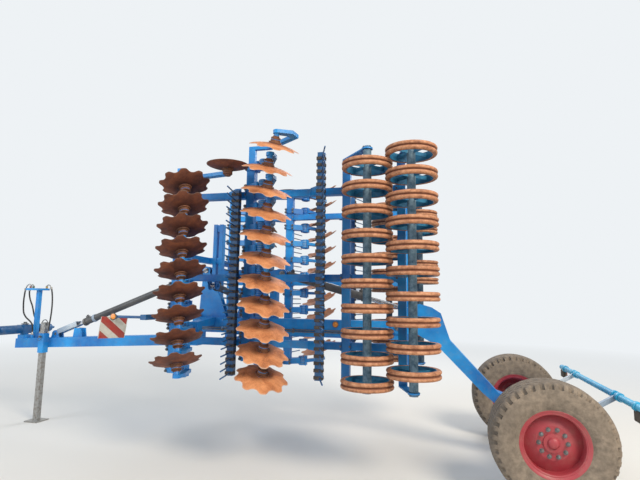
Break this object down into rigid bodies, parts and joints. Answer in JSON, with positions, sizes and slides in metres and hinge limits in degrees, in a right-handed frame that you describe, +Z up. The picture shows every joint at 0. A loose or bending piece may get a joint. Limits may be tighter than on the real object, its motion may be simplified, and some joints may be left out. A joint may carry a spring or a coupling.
{
  "type": "trailed compact disc harrow",
  "caption": "Trailed compact disc harrow folded upright for transport, with notched discs on sprung arms, levelling harrows, ring rollers, a drawbar with a stand and a wheeled chassis.",
  "frame": {"origin": "on the ground, at the bottom centre of the whole machine's box", "axes": "+X towards the machine's rear, +Y to its right, +Z up"},
  "size_m": [7.957, 2.9892, 3.6766],
  "materials": {
    "paint_blue": "glossy blue paint, sun-faded",
    "paint_navy": "dark blue paint",
    "paint_cyan": "light blue paint",
    "paint_dark": "dark grey paint of the cylinders",
    "paint_red": "dark red paint of the rims",
    "paint_white": "white paint of the warning boards",
    "rusty_iron": "orange brown rust film on worn steel",
    "bare_steel": "bare steel",
    "hose": "black hydraulic hose",
    "tyre": "dusty black tyre"
  },
  "bodies": {
    "frame": {"main_beam": "paint_blue", "hinge_carriers": "paint_blue", "hinge_pins": "bare_steel", "tower": "paint_blue", "top_beam": "paint_blue", "cylinder_brackets": "paint_blue", "board_carrier": "paint_navy", "warning_boards": "paint_white"},
    "drawbar": {"drawbar": "paint_blue", "hose_post": "paint_blue", "hose_left": "hose", "hose_middle": "hose", "hose_right": "hose"},
    "hitch": {"hitch_crossbar": "paint_navy"},
    "stand": {"parking_stand": "bare_steel"},
    "strut_barrel": {"strut_barrel": "paint_dark"},
    "strut_rod": {"strut_rod": "bare_steel"},
    "wing_left": {"cross_tubes_left": "paint_blue", "side_members_left": "paint_blue", "front_arms_left": "paint_blue", "rear_arms_left": "paint_blue", "front_discs_left": "rusty_iron", "rear_discs_left": "rusty_iron", "edge_disc_left": "rusty_iron", "front_harrow_left": "paint_navy", "rear_harrow_left": "paint_navy", "roller_links_left": "paint_blue", "roller_frame_left": "paint_blue"},
    "fold_barrel_left": {"fold_barrel_left": "paint_dark"},
    "fold_rod_left": {"fold_rod_left": "bare_steel"},
    "roller_front_left": {"roller_front_left": "rusty_iron"},
    "roller_rear_left": {"roller_rear_left": "rusty_iron"},
    "wing_right": {"cross_tubes_right": "paint_blue", "side_members_right": "paint_blue", "front_arms_right": "paint_blue", "rear_arms_right": "paint_blue", "front_discs_right": "rusty_iron", "rear_discs_right": "rusty_iron", "edge_disc_right": "rusty_iron", "front_harrow_right": "paint_navy", "rear_harrow_right": "paint_navy", "roller_links_right": "paint_blue", "roller_frame_right": "paint_blue"},
    "fold_barrel_right": {"fold_barrel_right": "paint_dark"},
    "fold_rod_right": {"fold_rod_right": "bare_steel"},
    "roller_front_right": {"roller_front_right": "rusty_iron"},
    "roller_rear_right": {"roller_rear_right": "rusty_iron"},
    "chassis": {"chassis_arm": "paint_blue", "axle": "paint_blue", "light_bar": "paint_cyan", "light_bar_links": "paint_cyan"},
    "lift_barrel": {"chassis_barrel": "paint_dark"},
    "lift_rod": {"chassis_rod": "bare_steel"},
    "wheel_left": {"tyre_left": "tyre", "rim_left": "paint_red"},
    "wheel_right": {"tyre_right": "tyre", "rim_right": "paint_red"}
  },
  "joints": [
    {"name": "drawbar_pivot", "type": "hinge", "parent": "frame", "child": "drawbar", "pos_m": [-1.0835, 0, 1.23], "axis": [0, 1, 0], "range_deg": [-4, 6]},
    {"name": "hitch_swivel", "type": "hinge", "parent": "drawbar", "child": "hitch", "pos_m": [-3.9135, 0, 1.2903], "axis": [0, 0, 1], "range_deg": [-40, 40]},
    {"name": "stand_slide", "type": "slide", "parent": "drawbar", "child": "stand", "axis": [0, 0, 1], "range_m": [0, 0.3]},
    {"name": "strut_pivot", "type": "hinge", "parent": "frame", "child": "strut_barrel", "pos_m": [-0.8535, 0, 2.18], "axis": [0, 1, 0], "range_deg": [-4, 6]},
    {"name": "strut_stroke", "type": "slide", "parent": "strut_barrel", "child": "strut_rod", "axis": [-0.933, 0, -0.3599], "range_m": [-0.12, 0.08]},
    {"name": "fold_left", "type": "hinge", "parent": "frame", "child": "wing_left", "pos_m": [0, -0.5, 1.35], "axis": [1, 0, 0], "range_deg": [0, 90]},
    {"name": "fold_cylinder_pivot_left", "type": "hinge", "parent": "frame", "child": "fold_barrel_left", "pos_m": [-0.4135, 0.15, 1.82], "axis": [1, 0, 0], "range_deg": [-2, 50]},
    {"name": "fold_cylinder_stroke_left", "type": "slide", "parent": "fold_barrel_left", "child": "fold_rod_left", "axis": [0, -0.9866, 0.1634], "range_m": [-0.005, 0.6]},
    {"name": "roller_front_left_turn", "type": "hinge", "parent": "wing_left", "child": "roller_front_left", "pos_m": [1.5665, -1.16, 2.3], "axis": [0, 0, 1], "continuous": true},
    {"name": "roller_rear_left_turn", "type": "hinge", "parent": "wing_left", "child": "roller_rear_left", "pos_m": [2.0265, -1.16, 2.3], "axis": [0, 0, 1], "continuous": true},
    {"name": "fold_right", "type": "hinge", "parent": "frame", "child": "wing_right", "pos_m": [0, 0.5, 1.35], "axis": [-1, 0, 0], "range_deg": [0, 90]},
    {"name": "fold_cylinder_pivot_right", "type": "hinge", "parent": "frame", "child": "fold_barrel_right", "pos_m": [-0.1535, -0.15, 1.82], "axis": [-1, 0, 0], "range_deg": [-2, 50]},
    {"name": "fold_cylinder_stroke_right", "type": "slide", "parent": "fold_barrel_right", "child": "fold_rod_right", "axis": [0, 0.9866, 0.1634], "range_m": [-0.005, 0.6]},
    {"name": "roller_front_right_turn", "type": "hinge", "parent": "wing_right", "child": "roller_front_right", "pos_m": [1.5665, 1.16, 2.3], "axis": [0, 0, 1], "continuous": true},
    {"name": "roller_rear_right_turn", "type": "hinge", "parent": "wing_right", "child": "roller_rear_right", "pos_m": [2.0265, 1.16, 2.3], "axis": [0, 0, 1], "continuous": true},
    {"name": "chassis_pivot", "type": "hinge", "parent": "frame", "child": "chassis", "pos_m": [1.7965, 0, 1.485], "axis": [0, 1, 0], "range_deg": [-80, 0]},
    {"name": "lift_pivot", "type": "hinge", "parent": "frame", "child": "lift_barrel", "pos_m": [0.2665, 0, 2.14], "axis": [0, 1, 0], "range_deg": [-3, 3]},
    {"name": "lift_stroke", "type": "slide", "parent": "lift_barrel", "child": "lift_rod", "axis": [0.9646, 0, -0.2636], "range_m": [-0.35, 0.01]},
    {"name": "wheel_turn_left", "type": "hinge", "parent": "chassis", "child": "wheel_left", "pos_m": [3.2565, -1.05, 0.545], "axis": [0, 1, 0], "continuous": true},
    {"name": "wheel_turn_right", "type": "hinge", "parent": "chassis", "child": "wheel_right", "pos_m": [3.2565, 1.05, 0.545], "axis": [0, 1, 0], "continuous": true}
  ],
  "couplings": [
    {"joint": "strut_pivot", "follows": "drawbar_pivot", "ratio": 0.7907},
    {"joint": "strut_stroke", "follows": "drawbar_pivot", "m_per_rad": -0.8106},
    {"joint": "fold_cylinder_pivot_left", "follows": "fold_left", "ratio": 0.4027},
    {"joint": "fold_cylinder_stroke_left", "follows": "fold_left", "m_per_rad": 0.3695},
    {"joint": "fold_right", "follows": "fold_left", "ratio": 1},
    {"joint": "fold_cylinder_pivot_right", "follows": "fold_left", "ratio": 0.4027},
    {"joint": "fold_cylinder_stroke_right", "follows": "fold_left", "m_per_rad": 0.3695},
    {"joint": "lift_pivot", "follows": "chassis_pivot", "ratio": -0.0279},
    {"joint": "lift_stroke", "follows": "chassis_pivot", "m_per_rad": 0.24}
  ]
}
